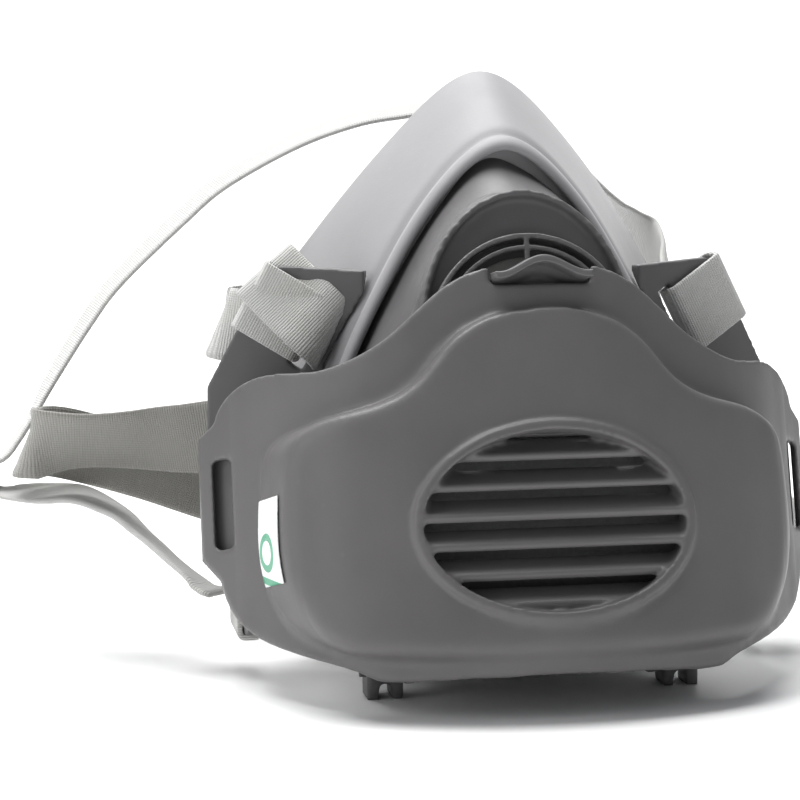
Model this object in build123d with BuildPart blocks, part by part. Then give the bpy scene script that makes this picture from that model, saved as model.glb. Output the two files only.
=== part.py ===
"""Half-face painter's respirator: a soft face cup on a rigid front frame, with a snap-on filter
cover that hinges at its lower edge, an exhale valve behind the cover's top, an inhale valve behind
the filter pad, two strap ears and an elastic harness.

Millimetres. X runs across the face (the model is symmetric about X = 0, apart from the straps),
Y runs back towards the face, Z is up. The origin is on the floor, midway between the two feet.
"""

import os
from math import cos, radians, sin, sqrt

from build123d import *

os.makedirs("parts", exist_ok=True)

# ---------------------------------------------------------------- driving sizes
lean = 13.7             # the cover and the frame's front lean back, degrees
vent_height = 36.5      # centre of the oval vent above the floor
cover_reach = 25.0      # the vent's centre stands this far in front of the feet
wall = 2.0              # moulded plastic walls
gap = 0.3               # clearance between bodies that move apart

# Filter cover, in the cover's own leaning view: across, and up from the vent's centre
flange_radius = 62.0    # how tightly the flange wraps round the face
flange_front = 1.8      # the flange lies this far behind the vent's plane
flange_turn = 55.3      # half of the wrapped arc, degrees; the wings run on straight
wing_reach = 21.0       # straight part of each wing
cover_half = 61.5       # half width over the wings
cover_top = 47.8
cover_base = -28.3
shoulder_z = 31.6       # top edge beside the raised panel
tab_top = 22.6          # the wing's side tab
tab_base = -1.5
notch_half = 9.6        # notch in the top edge, under the latch
notch_depth = 3.2
slot_z = 9.0            # clip slot in each wing: centre height, height, width
slot_height = 17.5
slot_width = 5.5
slot_across = 57.5

# Raised panel of the cover
panel_radius = 94.0
panel_front = -1.2
panel_half = 51.0
panel_top = 39.6
panel_base = -24.4
panel_side_top = 21.2

# Plain label on the panel's side
label_back = 17.2
label_width = 11.0
label_height = 16.5

# Oval vent and its louvre
vent_half_x = 24.6
vent_half_z = 16.6
rim_width = 1.9
rim_raise = 1.0
slat_count = 6
slat_pitch = 5.45
slat_thick = 1.6
slat_depth = 4.6
slat_angle = 38.0

# Frame
plate_front = 17.0      # front face of the frame's plate, behind the vent's plane
plate = 2.2
boss_half_x = 21.0      # oval boss round the exhale valve
boss_half_z = 28.4
boss_raise = 1.6
port_z = 37.0           # exhale valve centre, up from the vent's centre
grid_radius = 19.3
grid_inner = 17.0
grid_rib = 0.9
exhale_hole = 14.5
inhale_z = -3.0
inhale_hole = 11.5
disc_thick = 0.8
exhale_lift = 1.5
inhale_lift = 2.0
pocket_half = 33.0      # pocket that carries the filter pad's back
pocket_top = 17.3
pocket_base = -22.0
bridge_half = 38.0      # flat bridge between the neck and the rim
bridge_top = 30.0

# Filter: gasket, carbon layer and pad, from the frame forwards
gasket_thick = 1.0
carbon_thick = 2.2
pad_thick = 4.6
layer_play = 0.1
pad_play = 0.3

# Feet and cover hinge
foot_across = 29.0
foot_width = 7.0
fork_width = 2.4        # notch that forks each foot
fork_height = 3.0
hinge_height = 5.4
pin_radius = 1.5
pin_clearance = 0.05
eye_radius = 3.2
arm_width = 2.6

# Soft face cup
groove_y = 20.0         # front edge of the cup
groove_width = 2.4
groove_depth = 4.0
cup_wall = 2.0
cup_back = 66.0         # the cup's sections run this far back before the face is cut away
face_radius = 59.0      # the wearer's face, seen from above
nose_y = 47.0           # depth of the rim at the nose
jaw_radius = 58.0
jaw_centre_y = 105.0
jaw_centre_z = 32.0

# Ears and straps
ear_turn = 22.0
ear_thick = 2.4
ear_slot = (-5.5, 3.5)   # centre of the upper strap slot in the ear's plate
ear_slot_turn = 30.0
ear_bar = 12.4          # bar between that slot and the ear's edge
strut_across = 51.0
strut_base = 9.0
strut_bar = 4.4         # bar under the lower strap slot
strut_slot_y = 29.0
strap_width = 15.0
strap_thick = 1.2
strap_play = 0.25

# ---------------------------------------------------------------- reference planes
tilt = radians(lean)
vent_centre = Vector(0, -cover_reach, vent_height)
up_lean = Vector(0, sin(tilt), cos(tilt))
back_lean = Vector(0, cos(tilt), -sin(tilt))
plan = Plane(origin=vent_centre, x_dir=(1, 0, 0), z_dir=up_lean)
front_view = Plane(origin=vent_centre, x_dir=(1, 0, 0), z_dir=back_lean * -1)
low_plan = plan.offset(cover_base - 12)
plan_height = cover_top - cover_base + 40


def lean_point(across, back, up):
    """A point given in the cover's leaning view."""
    return vent_centre + Vector(across, 0, 0) + back_lean * back + up_lean * up


def wrapped(front, radius, depth, turn=flange_turn, reach=wing_reach + 10):
    """Plan of a wall that wraps round the face: an arc that runs on into straight ends."""
    angle = radians(turn)
    rows = []
    for r in (radius, radius - depth):
        side = r * sin(angle)
        back = front + radius - r * cos(angle)
        end = (side + reach * cos(angle), back + reach * sin(angle))
        rows.append((side, back, front + radius - r, end))
    (s1, b1, f1, e1), (s2, b2, f2, e2) = rows
    with BuildLine() as outline:
        ThreePointArc((-s1, b1), (0, f1), (s1, b1))
        Line((s1, b1), e1)
        Line(e1, e2)
        Line(e2, (s2, b2))
        ThreePointArc((s2, b2), (0, f2), (-s2, b2))
        Line((-s2, b2), (-e2[0], e2[1]))
        Line((-e2[0], e2[1]), (-e1[0], e1[1]))
        Line((-e1[0], e1[1]), (-s1, b1))
    make_face(outline.edges())


def behind(front, radius):
    """Plan of everything behind a wrapped surface."""
    wrapped(front, radius, min(radius - 6, 44), 60, 60)


def half_spline(points, inset=0.0, mode=Mode.ADD):
    """Face inside a smooth closed outline through half its points, mirrored, drawn in by an inset."""
    moved = [(0, points[0][1] - inset)]
    for before, (x, z), after in zip(points, points[1:], points[2:]):
        along = Vector(*after) - Vector(*before)
        inward = Vector(along.Y, -along.X).normalized() * inset
        moved.append((x + inward.X, z + inward.Y))
    moved.append((0, points[-1][1] + inset))
    mirrored = [(-x, z) for x, z in reversed(moved[1:-1])]
    with BuildLine() as outline:
        Spline(*moved, *mirrored, periodic=True)
    make_face(outline.edges(), mode=mode)


def cover_outline(inset=0.0):
    """Front outline of the cover's flange, with its shoulders and side tabs, drawn in by an inset."""
    half = cover_half - inset
    top = cover_top - inset
    shoulder = shoulder_z - inset
    base = cover_base + inset
    tab_low = tab_base + inset
    tab_high = tab_top - inset
    with BuildLine() as outline:
        Line((0, top), (notch_half, top))
        Spline(
            (notch_half, top),
            (19.3, top - 4.0),
            (30.0, shoulder + 3.6),
            (41.0, shoulder - 0.1),
            (half - 11.5, shoulder + 0.8),
            tangents=[(1, -0.12), (1, 0.04)],
        )
        ThreePointArc(
            (half - 11.5, shoulder + 0.8),
            (half - 5.6, shoulder - 1.6),
            (half - 2.9, tab_high + 2.4),
        )
        Line((half - 2.9, tab_high + 2.4), (half, tab_high))
        Line((half, tab_high), (half, tab_low))
        Line((half, tab_low), (half - 3.0, tab_low - 4.2))
        Spline(
            (half - 3.0, tab_low - 4.2),
            (half - 9.4, base + 10.6),
            (half - 24.0, base + 3.6),
            (0, base),
            tangents=[(-0.15, -1), (-1, 0)],
        )
        mirror(about=Plane.YZ)
    make_face(outline.edges())


# Raised panel: a rounded hump over a broad base
panel_points = [
    (0, panel_top),
    (8.5, panel_top - 0.9),
    (17.8, panel_top - 5.6),
    (25.0, panel_top - 13.4),
    (34.2, panel_side_top + 1.4),
    (panel_half - 7.5, panel_side_top + 0.1),
    (panel_half - 1.6, panel_side_top - 2.8),
    (panel_half, panel_side_top - 10.0),
    (panel_half - 0.2, panel_base + 17.0),
    (panel_half - 5.2, panel_base + 6.0),
    (panel_half - 19.0, panel_base + 1.4),
    (0, panel_base),
]


def finish(builder, name):
    """Labels a finished piece and writes its file."""
    builder.part.label = name
    export_step(builder.part, f"parts/{name}.step")


# ---------------------------------------------------------------- filter cover
with BuildPart() as flange_blank:
    with BuildSketch(low_plan):
        wrapped(flange_front, flange_radius, wall)
    extrude(amount=plan_height)
    with BuildSketch(front_view):
        cover_outline()
    extrude(amount=80, both=True, mode=Mode.INTERSECT)

with BuildPart() as panel_blank:
    with BuildSketch(front_view):
        half_spline(panel_points)
    extrude(amount=80, both=True)
    with BuildSketch(low_plan):
        behind(panel_front, panel_radius)
    extrude(amount=plan_height, mode=Mode.INTERSECT)
    with BuildSketch(low_plan):
        behind(flange_front + wall / 2, flange_radius - wall / 2)
    extrude(amount=plan_height, mode=Mode.SUBTRACT)

with BuildPart() as panel_hollow:
    with BuildSketch(front_view):
        half_spline(panel_points, wall)
    extrude(amount=80, both=True)
    with BuildSketch(low_plan):
        behind(panel_front + wall, panel_radius - wall)
    extrude(amount=plan_height, mode=Mode.INTERSECT)

with BuildPart() as louvre_blank:
    for row in range(slat_count):
        up = (row - (slat_count - 1) / 2) * slat_pitch
        slat_plane = Plane(
            origin=lean_point(-vent_half_x - 1, panel_front + wall + slat_depth / 2 + 0.6, up),
            x_dir=back_lean,
            z_dir=(1, 0, 0),
        )
        with BuildSketch(slat_plane):
            Rectangle(slat_depth * 1.25, slat_thick, rotation=slat_angle)
        extrude(amount=2 * vent_half_x + 2)
    with BuildSketch(front_view):
        Ellipse(vent_half_x + 0.4, vent_half_z + 0.4)
    extrude(amount=80, both=True, mode=Mode.INTERSECT)

with BuildPart() as rim_blank:
    with BuildSketch(low_plan):
        wrapped(panel_front - rim_raise, panel_radius + rim_raise, rim_raise + wall + 3.0)
    extrude(amount=plan_height)
    with BuildSketch(front_view):
        Ellipse(vent_half_x + rim_width, vent_half_z + rim_width)
        Ellipse(vent_half_x, vent_half_z, mode=Mode.SUBTRACT)
    extrude(amount=80, both=True, mode=Mode.INTERSECT)

# Hinge eyes at the feet, on arms that run forward under the frame to the flange's lower edge
hinge_axis = Plane(origin=(0, 0, hinge_height), x_dir=(0, 1, 0), z_dir=(1, 0, 0))
arm_across = foot_across - foot_width / 2 - gap - arm_width
arm_back = flange_front + flange_radius - sqrt(flange_radius**2 - arm_across**2) + wall / 2
arm_high = lean_point(arm_across, arm_back, pocket_base - 2.2)
arm_low = lean_point(arm_across, arm_back, cover_base + 1.6)
with BuildPart() as hinge_arms:
    with BuildSketch(hinge_axis.offset(arm_across)):
        with BuildLine() as arm_side:
            Polyline(
                (0, eye_radius - 0.4),
                (arm_high.Y, arm_high.Z - hinge_height),
                (arm_low.Y, arm_low.Z - hinge_height),
                (0, -eye_radius),
                close=True,
            )
        make_face(arm_side.edges())
        Circle(eye_radius)
        Circle(pin_radius + pin_clearance, mode=Mode.SUBTRACT)
    extrude(amount=arm_width)
    mirror(about=Plane.YZ)

with BuildPart() as filter_cover:
    add(flange_blank.part)
    add(panel_blank.part)
    add(panel_hollow.part, mode=Mode.SUBTRACT)
    with BuildSketch(front_view):
        Ellipse(vent_half_x + 0.3, vent_half_z + 0.3)
    extrude(amount=80, both=True, mode=Mode.SUBTRACT)
    add(rim_blank.part)
    add(louvre_blank.part)
    add(hinge_arms.part)
    with BuildSketch(front_view):
        with Locations((0, cover_top)):
            Rectangle(2 * notch_half, 2 * notch_depth)
        with Locations((slot_across, slot_z), (-slot_across, slot_z)):
            Rectangle(slot_width * cos(radians(flange_turn)), slot_height)
    extrude(amount=80, both=True, mode=Mode.SUBTRACT)
finish(filter_cover, "filter_cover")

with BuildPart() as cover_label:
    with BuildSketch(front_view.offset(-label_back)):
        half_spline(panel_points, -0.4)
        half_spline(panel_points, -0.1, Mode.SUBTRACT)
        with Locations((-panel_half, 0)):
            Rectangle(12, label_height, mode=Mode.INTERSECT)
    extrude(amount=-label_width)
finish(cover_label, "cover_label")

# ---------------------------------------------------------------- front frame
frame_front = flange_front + wall + gap
frame_radius = flange_radius - wall - gap
rim_inset = 2.4


def pocket_outline(inset, mode=Mode.ADD):
    """Rounded outline of the pocket that the filter pad sits in."""
    with Locations((0, (pocket_top + pocket_base) / 2)):
        RectangleRounded(
            2 * (pocket_half - inset), pocket_top - pocket_base - 2 * inset, 6 - inset, mode=mode
        )


neck_points = [
    (0, port_z + boss_half_z),
    (boss_half_x * 0.75, port_z + boss_half_z * 0.69),
    (boss_half_x + 0.6, port_z + 6.0),
    (boss_half_x + 12.0, inhale_z + 19.0),
    (boss_half_x + 13.5, inhale_z),
    (0, pocket_base),
]
cup_front_points = [(0, 105.5), (12.0, 98.0), (24.9, 78.5), (37.5, 42.0), (24.0, 7.5), (0, 1.5)]
cup_rear_points = [(0, 132.5), (17.0, 119.0), (40.3, 81.5), (50.0, 44.0), (33.0, 8.0), (0, -1.0)]


with BuildPart() as rim_plate:
    with BuildSketch(low_plan):
        wrapped(frame_front, frame_radius, plate)
    extrude(amount=plan_height)
    with BuildSketch(front_view):
        cover_outline(rim_inset)
        with Locations((0, bridge_top + 20)):
            Rectangle(2 * bridge_half, 40, mode=Mode.SUBTRACT)
        with Locations((0, (bridge_top + pocket_base) / 2 + wall)):
            Rectangle(2 * bridge_half, bridge_top - pocket_base, mode=Mode.SUBTRACT)
        with Locations((0, pocket_base - 20)):
            Rectangle(150, 40, mode=Mode.SUBTRACT)
    extrude(amount=80, both=True, mode=Mode.INTERSECT)

pocket_depth = gasket_thick + carbon_thick + pad_thick + 3 * layer_play
with BuildPart() as pocket_wall:
    with BuildSketch(front_view.offset(-plate_front - plate / 2)):
        pocket_outline(0)
        pocket_outline(wall, Mode.SUBTRACT)
    extrude(amount=pocket_depth + plate / 2)
    # shelf that carries the latch tongue, clear of the louvre
    with BuildSketch(front_view.offset(-flange_front - wall - 1.0)):
        with Locations((0, pocket_top - 0.55)):
            Rectangle(2 * notch_half, 1.1)
    extrude(amount=-(plate_front - flange_front - wall - 1.0))
    with BuildSketch(low_plan):
        behind(frame_front, frame_radius)
    extrude(amount=plan_height, mode=Mode.INTERSECT)

groove_plane = Plane.XZ.offset(-(groove_y + groove_depth + 3.0))
neck_back = front_view.offset(-(plate_front + plate))
with BuildPart() as neck:
    with BuildSketch(neck_back):
        half_spline(neck_points)
    with BuildSketch(groove_plane):
        half_spline(cup_front_points, groove_width)
    loft()

with BuildPart() as neck_hollow:
    with BuildSketch(neck_back):
        half_spline(neck_points, plate)
    with BuildSketch(groove_plane):
        half_spline(cup_front_points, groove_width + plate)
    loft()

frame_plate = front_view.offset(-plate_front)
with BuildPart() as bridge_plate:
    with BuildSketch(frame_plate):
        half_spline(neck_points)
        with Locations((0, (bridge_top + pocket_base) / 2)):
            RectangleRounded(2 * bridge_half + 3, bridge_top - pocket_base, 5)
    extrude(amount=-plate)
    with BuildSketch(low_plan):
        behind(frame_front, frame_radius)
    extrude(amount=plan_height, mode=Mode.INTERSECT)

with BuildPart() as front_frame:
    add(rim_plate.part)
    add(pocket_wall.part)
    add(bridge_plate.part)
    add(neck.part)
    # feet, which carry the hinge pins
    for side in (-1, 1):
        with BuildSketch(hinge_axis.offset(side * foot_across - foot_width / 2)):
            with BuildLine() as foot_side:
                Polyline(
                    (-3.4, -hinge_height),
                    (3.4, -hinge_height),
                    (4.2, 3.6),
                    (9.0, 12.0),
                    (-11.0, 12.0),
                    (-4.2, 3.0),
                    close=True,
                )
            make_face(foot_side.edges())
            Circle(pin_radius + pin_clearance, mode=Mode.SUBTRACT)
        extrude(amount=foot_width)
    # the feet are forked
    with BuildSketch(Plane.XY):
        with Locations((-foot_across, 0), (foot_across, 0)):
            Rectangle(fork_width, 10)
    extrude(amount=fork_height, mode=Mode.SUBTRACT)
    add(neck_hollow.part, mode=Mode.SUBTRACT)
    # raised oval edge round the exhale valve
    with BuildSketch(frame_plate):
        with Locations((0, port_z)):
            Ellipse(boss_half_x, boss_half_z)
            Ellipse(boss_half_x - 1.3, boss_half_z - 1.3, mode=Mode.SUBTRACT)
        with Locations((0, pocket_top - 30)):
            Rectangle(100, 60 + 2 * (port_z - grid_radius - pocket_top), mode=Mode.SUBTRACT)
    extrude(amount=boss_raise)
    # the two valve ports
    with BuildSketch(frame_plate):
        with Locations((0, port_z)):
            Circle(exhale_hole)
        with Locations((0, inhale_z)):
            Circle(inhale_hole)
    extrude(amount=plate + 4, both=True, mode=Mode.SUBTRACT)
finish(front_frame, "front_frame")

# ---------------------------------------------------------------- soft face cup
with BuildPart() as face_cup:
    with BuildSketch(Plane.XZ.offset(-groove_y)):
        half_spline(cup_front_points)
    with BuildSketch(Plane.XZ.offset(-cup_back)):
        half_spline(cup_rear_points)
    loft()

with BuildPart() as cup_hollow:
    with BuildSketch(Plane.XZ.offset(-groove_y)):
        half_spline(cup_front_points, cup_wall)
    with BuildSketch(Plane.XZ.offset(-cup_back - 1)):
        half_spline(cup_rear_points, cup_wall)
    loft()
    # leave an inward lip that grips the frame's neck
    with BuildSketch(Plane.XZ.offset(-groove_y - groove_depth)):
        Rectangle(200, 400)
        half_spline(cup_front_points, groove_width - 0.1, mode=Mode.SUBTRACT)
    extrude(amount=-2.4, mode=Mode.SUBTRACT)

with BuildPart() as wearer_face:
    with BuildSketch(Plane.XY.offset(-20)):
        with Locations((0, nose_y + face_radius)):
            Circle(face_radius)
    extrude(amount=180)
    with BuildSketch(Plane.YZ.offset(-70)):
        with Locations((jaw_centre_y, jaw_centre_z)):
            Circle(jaw_radius)
    extrude(amount=140)

with BuildPart() as face_seal:
    add(face_cup.part)
    add(cup_hollow.part, mode=Mode.SUBTRACT)
    add(wearer_face.part, mode=Mode.SUBTRACT)
finish(face_seal, "face_seal")

# ---------------------------------------------------------------- exhale valve
def ring(outer, inner, up):
    """Ring sketch centred on a port."""
    with Locations((0, up)):
        Circle(outer)
        Circle(inner, mode=Mode.SUBTRACT)


def cross(radius, up, rib):
    """Two crossed ribs inside a ring."""
    with Locations((0, up)):
        Rectangle(2 * radius, rib)
        Rectangle(rib, 2 * radius)


with BuildPart() as exhale_seat:
    with BuildSketch(frame_plate.offset(-plate)):
        ring(exhale_hole, exhale_hole - 2.0, port_z)
        cross(exhale_hole - 1.0, port_z, 1.6)
        with Locations((0, port_z)):
            Circle(2.6)
            Circle(1.0, mode=Mode.SUBTRACT)
    extrude(amount=plate)
finish(exhale_seat, "exhale_valve_seat")

with BuildPart() as exhale_disc:
    with BuildSketch(frame_plate.offset(gap / 3)):
        with Locations((0, port_z)):
            Circle(exhale_hole + 0.8)
    extrude(amount=disc_thick)
    with BuildSketch(frame_plate.offset(gap / 3)):
        with Locations((0, port_z)):
            Circle(0.9)
    extrude(amount=-plate - 2.6)
finish(exhale_disc, "exhale_valve_disc")

guard_base = exhale_lift + disc_thick + 2 * gap
with BuildPart() as exhale_guard:
    with BuildSketch(frame_plate):
        ring(grid_radius, grid_radius - 1.0, port_z)
    extrude(amount=guard_base + 1.4)
    with BuildSketch(frame_plate.offset(guard_base)):
        ring(grid_inner, grid_inner - grid_rib, port_z)
        ring(grid_inner * 0.5, grid_inner * 0.5 - grid_rib, port_z)
        cross(grid_radius - 0.5, port_z, grid_rib)
    extrude(amount=1.4)
finish(exhale_guard, "exhale_valve_guard")

# ---------------------------------------------------------------- inhale valve
back_plate = frame_plate.offset(-plate)
with BuildPart() as inhale_seat:
    with BuildSketch(back_plate):
        ring(inhale_hole, inhale_hole - 2.0, inhale_z)
        cross(inhale_hole - 1.0, inhale_z, 1.6)
        with Locations((0, inhale_z)):
            Circle(2.4)
            Circle(1.0, mode=Mode.SUBTRACT)
    extrude(amount=plate)
finish(inhale_seat, "inhale_valve_seat")

with BuildPart() as inhale_disc:
    with BuildSketch(back_plate.offset(-gap / 3)):
        with Locations((0, inhale_z)):
            Circle(inhale_hole + 0.8)
    extrude(amount=-disc_thick)
    with BuildSketch(back_plate.offset(-gap / 3)):
        with Locations((0, inhale_z)):
            Circle(0.9)
    extrude(amount=plate + 3.0)
finish(inhale_disc, "inhale_valve_disc")

# ---------------------------------------------------------------- filter layers
with BuildPart() as filter_gasket:
    with BuildSketch(frame_plate.offset(layer_play)):
        pocket_outline(wall + pad_play)
        pocket_outline(wall + pad_play + 3.0, Mode.SUBTRACT)
    extrude(amount=gasket_thick)
finish(filter_gasket, "filter_gasket")

carbon_back = layer_play + gasket_thick + layer_play
with BuildPart() as carbon_layer:
    with BuildSketch(frame_plate.offset(carbon_back)):
        pocket_outline(wall + pad_play)
        # keep the inhale valve's stem clear
        with Locations((0, inhale_z)):
            Circle(2.6, mode=Mode.SUBTRACT)
    extrude(amount=carbon_thick)
finish(carbon_layer, "carbon_layer")

with BuildPart() as filter_pad:
    with BuildSketch(frame_plate.offset(carbon_back + carbon_thick + layer_play)):
        pocket_outline(wall + pad_play)
    extrude(amount=pad_thick)
finish(filter_pad, "filter_pad")

# ---------------------------------------------------------------- latch tongue
latch_half = notch_half - gap
latch_back = flange_front + wall + 1.6
latch_root = lean_point(0, latch_back, pocket_top)
latch_side = Plane(origin=latch_root, x_dir=back_lean, z_dir=(1, 0, 0))
tongue_up = cover_top - pocket_top
with BuildPart() as latch_tab:
    with BuildSketch(latch_side.offset(-latch_half)):
        with BuildLine() as tab_side:
            Polyline(
                (0, 0.1),
                (1.5, 0.1),
                (1.5, tongue_up - 1.6),
                (-1.5, tongue_up + 1.2),
                (-6.6, tongue_up + 0.6),
                (-6.8, tongue_up - 0.8),
                (-2.0, tongue_up - 0.4),
                (0, tongue_up - 2.4),
                close=True,
            )
        make_face(tab_side.edges())
    extrude(amount=2 * latch_half)
finish(latch_tab, "latch_tab")

# ---------------------------------------------------------------- hinge pins
for name, side in (("hinge_pin_left", -1), ("hinge_pin_right", 1)):
    inner = side * (arm_across - 1.0)
    outer = side * (foot_across + foot_width / 2 + 1.0)
    with BuildPart() as hinge_pin:
        with BuildSketch(hinge_axis.offset(min(inner, outer))):
            Circle(pin_radius)
        extrude(amount=abs(outer - inner))
    finish(hinge_pin, name)

# ---------------------------------------------------------------- strap ears
ear_swing = radians(ear_turn)
ear_plane = Plane(
    origin=(42.0, 32.0, 65.0),
    x_dir=(cos(ear_swing), sin(ear_swing), 0),
    z_dir=(sin(ear_swing), -cos(ear_swing), 0),
)
with BuildPart() as cup_relief:
    with BuildSketch(Plane.XZ.offset(-groove_y)):
        half_spline(cup_front_points, -gap)
    with BuildSketch(Plane.XZ.offset(-cup_back)):
        half_spline(cup_rear_points, -gap)
    loft()

with BuildPart() as ear_right:
    with BuildSketch(ear_plane):
        with BuildLine() as ear_edge:
            Polyline(
                (-16, 15.5),
                (1.5, 16.5),
                (11.0, 2.8),
                (17.0, -8),
                (17.5, -34),
                (6, -40),
                (-4, -40),
                (-16, -16),
                close=True,
            )
        make_face(ear_edge.edges())
        with Locations(Location(ear_slot, ear_slot_turn)):
            Rectangle(3.2, strap_width + 1.5, mode=Mode.SUBTRACT)
    extrude(amount=ear_thick)
    # strut from the wing's back, with the lower strap slot
    with BuildSketch(Plane.YZ.offset(strut_across)):
        with BuildLine() as strut_side:
            Polyline(
                (2.0, 16.0),
                (20.0, strut_base),
                (38.0, strut_base),
                (38.0, 56.0),
                (8.0, 44.0),
                close=True,
            )
        make_face(strut_side.edges())
        with Locations((strut_slot_y, strut_base + strut_bar + 1.6)):
            Rectangle(strap_width + 1.5, 3.2, mode=Mode.SUBTRACT)
    extrude(amount=ear_thick)
    add(cup_relief.part, mode=Mode.SUBTRACT)
    with BuildSketch(low_plan):
        wrapped(frame_front + plate + 0.1, frame_radius - plate - 0.1, 51, reach=90)
    extrude(amount=plan_height + 60, mode=Mode.INTERSECT)
finish(ear_right, "strap_ear_right")
with BuildPart() as ear_left:
    mirror(ear_right.part, about=Plane.YZ)
finish(ear_left, "strap_ear_left")


# ---------------------------------------------------------------- strap loops round the ears' bars
def loop_section(length):
    """Section of a flat loop round a bar of the ear plate, the bar starting at the origin."""
    room = ear_thick + 2 * strap_play
    with Locations((length / 2, 0)):
        RectangleRounded(
            length + 2 * (strap_play + strap_thick), room + 2 * strap_thick, strap_thick + 0.6
        )
        RectangleRounded(length + 2 * strap_play, room, 0.6, mode=Mode.SUBTRACT)


slot_turned = radians(ear_slot_turn)
band_along = ear_plane.x_dir * cos(slot_turned) + Vector(0, 0, sin(slot_turned))
band_across = ear_plane.x_dir * -sin(slot_turned) + Vector(0, 0, cos(slot_turned))
bar_start = ear_plane.from_local_coords((*ear_slot, ear_thick / 2)) + band_along * 1.6
with BuildPart() as loop_right:
    with BuildSketch(Plane(origin=bar_start, x_dir=band_along, z_dir=band_across)):
        loop_section(ear_bar)
    extrude(amount=strap_width / 2, both=True)
finish(loop_right, "strap_loop_right")
with BuildPart() as loop_left:
    mirror(loop_right.part, about=Plane.YZ)
finish(loop_left, "strap_loop_left")

strut_middle = strut_across + ear_thick / 2
with BuildPart() as low_loop_right:
    with BuildSketch(
        Plane(
            origin=(strut_middle, strut_slot_y, strut_base + strut_bar),
            x_dir=(0, 0, -1),
            z_dir=(0, 1, 0),
        )
    ):
        loop_section(strut_bar)
    extrude(amount=strap_width / 2, both=True)
finish(low_loop_right, "strap_loop_low_right")
with BuildPart() as low_loop_left:
    mirror(low_loop_right.part, about=Plane.YZ)
finish(low_loop_left, "strap_loop_low_left")


# ---------------------------------------------------------------- elastic straps
def ribbon(stations):
    """Flat strap through stations, each a centre and the direction of the strap's width."""
    centres = [Vector(*centre) for centre, _ in stations]
    last = len(stations) - 1
    sections = []
    for k, (_, across) in enumerate(stations):
        along = (centres[min(k + 1, last)] - centres[max(k - 1, 0)]).normalized()
        width = Vector(*across)
        width = width - along * width.dot(along)
        with BuildSketch(Plane(origin=centres[k], x_dir=width, z_dir=along)) as section:
            Rectangle(strap_width, strap_thick)
        sections.append(section.sketch)
    for near, far in zip(sections, sections[1:]):
        loft([near, far], ruled=True)


low_anchor_x = strut_middle + ear_thick / 2 + strap_play + strap_thick + 1.3
low_anchor_z = strut_base + strut_bar + 2.8
with BuildPart() as crown_strap:
    ribbon(
        [
            ((39.8, 36.2, 72.5), (0.46, 0.19, -0.87)),
            ((41.5, 47, 74.5), (0.4, 0.3, -0.87)),
            ((43, 58, 78.5), (0.2, 0.55, -0.8)),
            ((42, 67, 83.5), (0, 0.85, -0.5)),
            ((38, 70.5, 89), (0, 1, -0.15)),
            ((33, 71, 94.3), (0, 1, 0)),
            ((22.8, 71, 103.8), (0, 1, 0)),
            ((9.5, 71, 111), (0, 1, 0)),
            ((-1.6, 71, 113.2), (0, 1, 0)),
            ((-14.5, 71, 112.1), (0, 1, 0)),
            ((-24, 71, 110.4), (0, 1, 0)),
            ((-36.7, 71, 105.9), (0, 1, 0)),
            ((-51.7, 71, 97.8), (0, 1, 0)),
            ((-60.7, 71, 90.4), (0, 1, 0)),
            ((-74.3, 71, 77.6), (0, 1, 0)),
            ((-81, 70.8, 69), (0, 1, 0)),
            ((-89.2, 70.2, 56.3), (0, 1, 0)),
            ((-93.5, 69.4, 48.5), (0, 1, 0)),
            ((-98.5, 67.8, 41.8), (0, 1, 0)),
            ((-102.2, 66.5, 38.8), (0, 1, 0)),
            ((-103, 65.6, 36.4), (0, 1, 0)),
            ((-101, 64.2, 34.2), (0, 1, 0)),
            ((-93, 60, 33.6), (0, 1, 0.1)),
            ((-84, 55, 33.2), (0, 1, 0.1)),
            ((-77, 50.5, 30.2), (0, 1, 0.1)),
            ((-71.5, 45.5, 25.9), (0, 1, 0.05)),
            ((-66.5, 40, 21.8), (0, 1, 0)),
            ((-62.5, 35.6, 18.8), (0, 1, 0)),
            ((-59.2, 32.4, low_anchor_z + 0.5), (0, 1, 0)),
            ((-low_anchor_x, strut_slot_y + 1.2, low_anchor_z), (0, 1, 0)),
        ]
    )
finish(crown_strap, "crown_strap")

clasp_x = -34.0
clasp_y = 72.0
clasp_z = 30.0
strap_lie = clasp_y + strap_play + strap_thick / 2
with BuildPart() as neck_strap_left:
    ribbon(
        [
            ((-54.4, 39.2, 46.6), (0, 0, -1)),
            ((-58, 41.6, 46.3), (0, -0.1, -1)),
            ((-62, 44, 45.8), (-0.1, -0.4, -0.9)),
            ((-70, 48, 45.4), (-0.2, -0.65, -0.7)),
            ((-80, 50, 45.3), (-0.24, -0.7, -0.67)),
            ((-88, 50.5, 45.3), (-0.24, -0.7, -0.67)),
            ((-93, 52, 45), (-0.35, -0.45, -0.8)),
            ((-94.6, 55.5, 44.5), (-0.4, 0, -0.9)),
            ((-92, 59.5, 44.5), (-0.2, 0, -0.97)),
            ((-86, 62, 43.5), (0, 0, -1)),
            ((-70, 68, 38), (0, 0, -1)),
            ((-55, 72, 32), (0, 0, -1)),
            ((-48, strap_lie, clasp_z), (0, 0, -1)),
            ((clasp_x - 6, strap_lie, clasp_z), (0, 0, -1)),
        ]
    )
finish(neck_strap_left, "neck_strap_left")

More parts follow.
